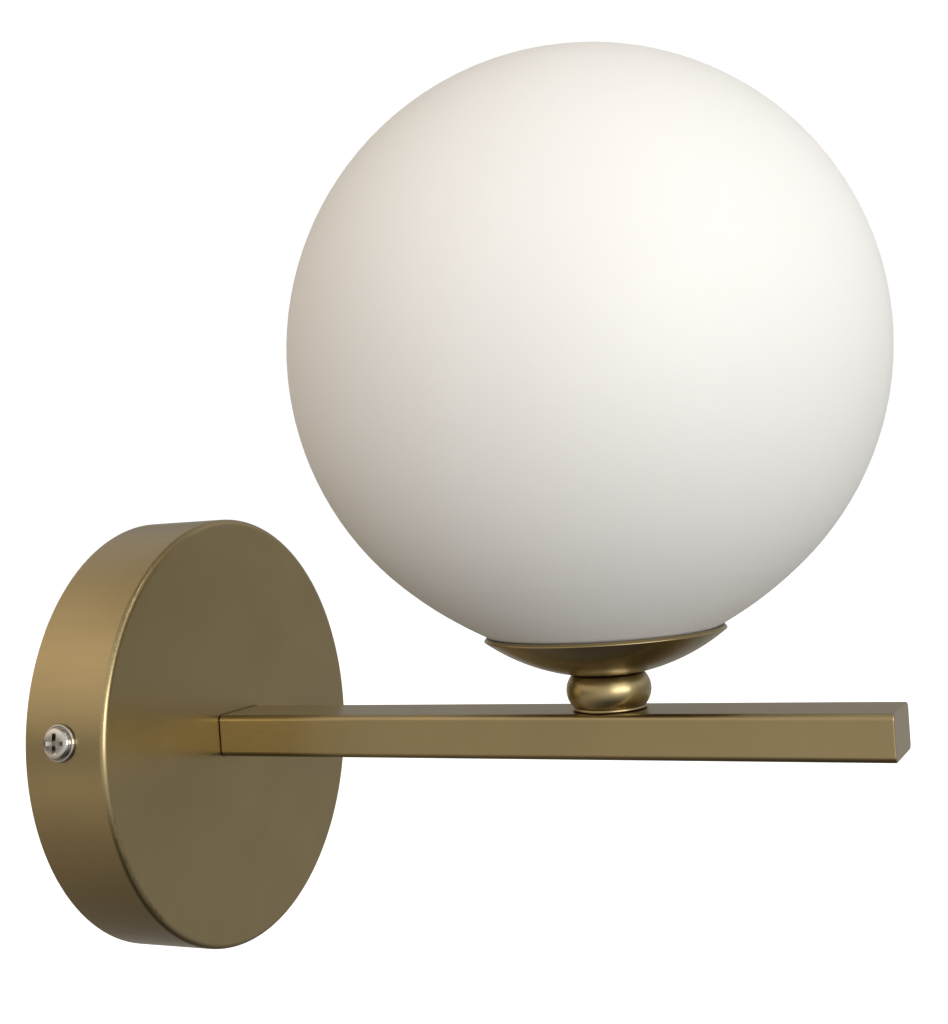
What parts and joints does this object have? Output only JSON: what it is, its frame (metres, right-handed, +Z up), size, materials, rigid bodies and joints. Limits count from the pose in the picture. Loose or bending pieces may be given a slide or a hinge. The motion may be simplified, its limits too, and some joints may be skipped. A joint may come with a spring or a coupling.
{
  "type": "globe wall sconce",
  "caption": "Wall light with a round canopy, a straight rectangular arm, and an opal glass globe standing in a shallow dish on a bead.",
  "frame": {"origin": "on the wall plane, in the middle of the canopy and of the bracket's two wall slots", "axes": "+X out of the wall along the arm, +Z up, +Y to the right of a person facing the wall"},
  "size_m": [0.212, 0.15, 0.2309],
  "materials": {
    "bronze_finish": "satin antique brass",
    "zinc_steel": "zinc plated",
    "nickel_screw": "nickel plated",
    "brass_inner": "plain turned",
    "bare_aluminium": "turned",
    "opal_glass": "satin opal",
    "white_ceramic": "unglazed",
    "nylon_block": "moulded",
    "silicone": "matt",
    "tinned_copper": "tinned",
    "bulb_plastic": "frosted",
    "brown_lead": "silicone insulation",
    "blue_lead": "silicone insulation",
    "green_lead": "silicone insulation"
  },
  "bodies": {
    "fixture_body": {"wall_bracket": "zinc_steel", "canopy_shell": "bronze_finish", "terminal_block_body": "nylon_block", "terminal_inserts": "brass_inner", "terminal_screws": "zinc_steel", "terminal_block_screw": "zinc_steel", "earth_ring_terminal": "tinned_copper", "earth_washer": "zinc_steel", "earth_screw": "brass_inner", "arm_tube": "bronze_finish", "arm_end_cap": "bronze_finish", "arm_end_block": "zinc_steel", "arm_fixing_screws": "zinc_steel", "wire_grommet": "silicone", "arm_weld_nut": "zinc_steel", "threaded_nipple": "brass_inner", "bead_spacer": "bronze_finish", "dish": "bronze_finish", "globe_ring": "bare_aluminium", "lampholder_bracket": "zinc_steel", "lock_washer": "zinc_steel", "lock_nut": "zinc_steel", "lampholder_screws": "zinc_steel", "lampholder_body": "white_ceramic", "lampholder_contacts": "tinned_copper", "live_lead": "brown_lead", "neutral_lead": "blue_lead", "earth_lead": "green_lead"},
    "canopy_washer_left_body": {"canopy_washer_left": "nickel_screw"},
    "canopy_screw_left_body": {"canopy_screw_left": "nickel_screw"},
    "canopy_washer_right_body": {"canopy_washer_right": "nickel_screw"},
    "canopy_screw_right_body": {"canopy_screw_right": "nickel_screw"},
    "gasket_body": {"globe_gasket": "silicone"},
    "globe_body": {"globe_glass": "opal_glass", "globe_collar": "bare_aluminium"},
    "bulb_body": {"bulb_base": "bulb_plastic", "bulb_pins": "nickel_screw", "bulb_diffuser": "bulb_plastic", "bulb_led_board": "bare_aluminium"}
  },
  "joints": [
    {"name": "left_screw_travel", "type": "slide", "parent": "fixture_body", "child": "canopy_washer_left_body", "axis": [0, -0.9936, 0.1132], "range_m": [0, 0.0105]},
    {"name": "left_screw_turn", "type": "hinge", "parent": "canopy_washer_left_body", "child": "canopy_screw_left_body", "pos_m": [0.0112, -0.05961, 0.00679], "axis": [0, -0.9936, 0.1132], "range_deg": [0, 5401]},
    {"name": "right_screw_travel", "type": "slide", "parent": "fixture_body", "child": "canopy_washer_right_body", "axis": [0, 0.9936, -0.1132], "range_m": [0, 0.0105]},
    {"name": "right_screw_turn", "type": "hinge", "parent": "canopy_washer_right_body", "child": "canopy_screw_right_body", "pos_m": [0.0112, 0.05961, -0.00679], "axis": [0, 0.9936, -0.1132], "range_deg": [0, 5401]},
    {"name": "globe_rise", "type": "slide", "parent": "fixture_body", "child": "gasket_body", "axis": [0, 0, 1], "range_m": [0, 0.01201]},
    {"name": "globe_turn", "type": "hinge", "parent": "gasket_body", "child": "globe_body", "pos_m": [0.137, 0, 0.02], "axis": [0, 0, 1], "range_deg": [0, 1440]},
    {"name": "bulb_pull", "type": "slide", "parent": "fixture_body", "child": "bulb_body", "axis": [0, 0, 1], "range_m": [0, 0.05]}
  ],
  "couplings": [
    {"joint": "left_screw_turn", "follows": "left_screw_travel", "rad_per_m": 8976},
    {"joint": "right_screw_turn", "follows": "right_screw_travel", "rad_per_m": 8976},
    {"joint": "globe_rise", "follows": "globe_turn", "m_per_rad": 0.00047746}
  ]
}
